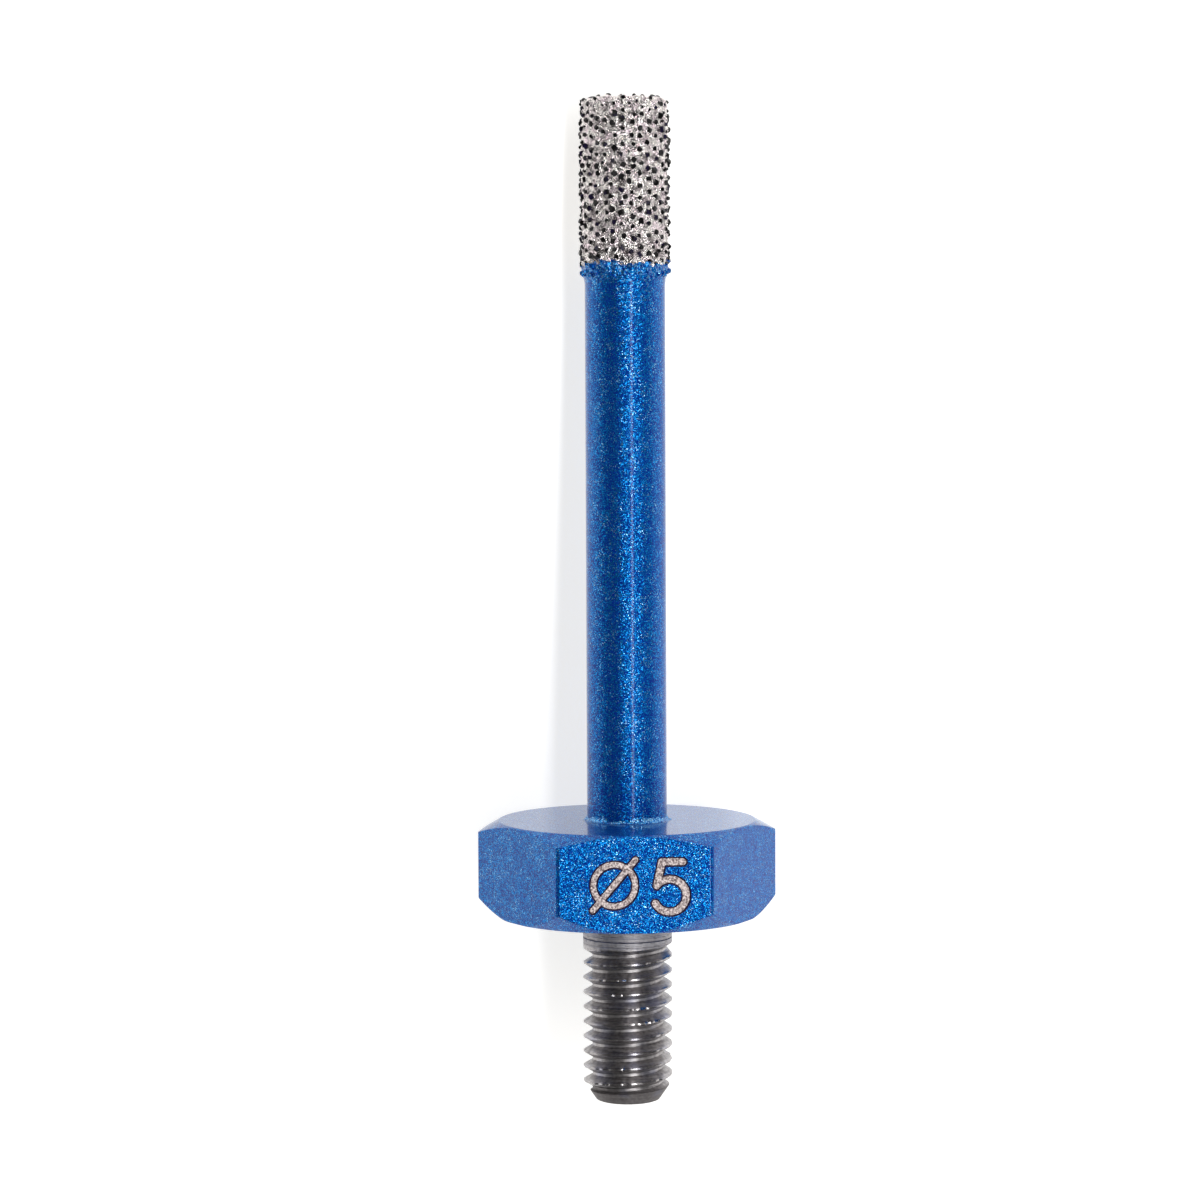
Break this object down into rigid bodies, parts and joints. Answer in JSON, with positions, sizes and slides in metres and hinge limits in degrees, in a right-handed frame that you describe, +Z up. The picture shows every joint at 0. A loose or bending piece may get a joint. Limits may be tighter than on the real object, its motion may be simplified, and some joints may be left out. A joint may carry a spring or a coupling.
{
  "type": "vacuum brazed core bit",
  "caption": "Small diamond core bit: a thin painted tube with a brazed grit end, a hex flange and a threaded stub.",
  "frame": {"origin": "on the floor, under the middle of the tool as it lies", "axes": "+Y along the tool towards its cutting end, +X across it, +Z up, with one hex flat facing up"},
  "size_m": [0.0162, 0.0539, 0.0145],
  "materials": {
    "blue_paint": "gloss",
    "bare_steel": "satin",
    "nickel_braze": "satin",
    "diamond": "gloss"
  },
  "bodies": {
    "root": {"shank": "blue_paint", "core_tube": "blue_paint", "joint_fillet": "blue_paint", "braze_layer": "nickel_braze", "diamond_grit": "diamond"}
  },
  "joints": []
}
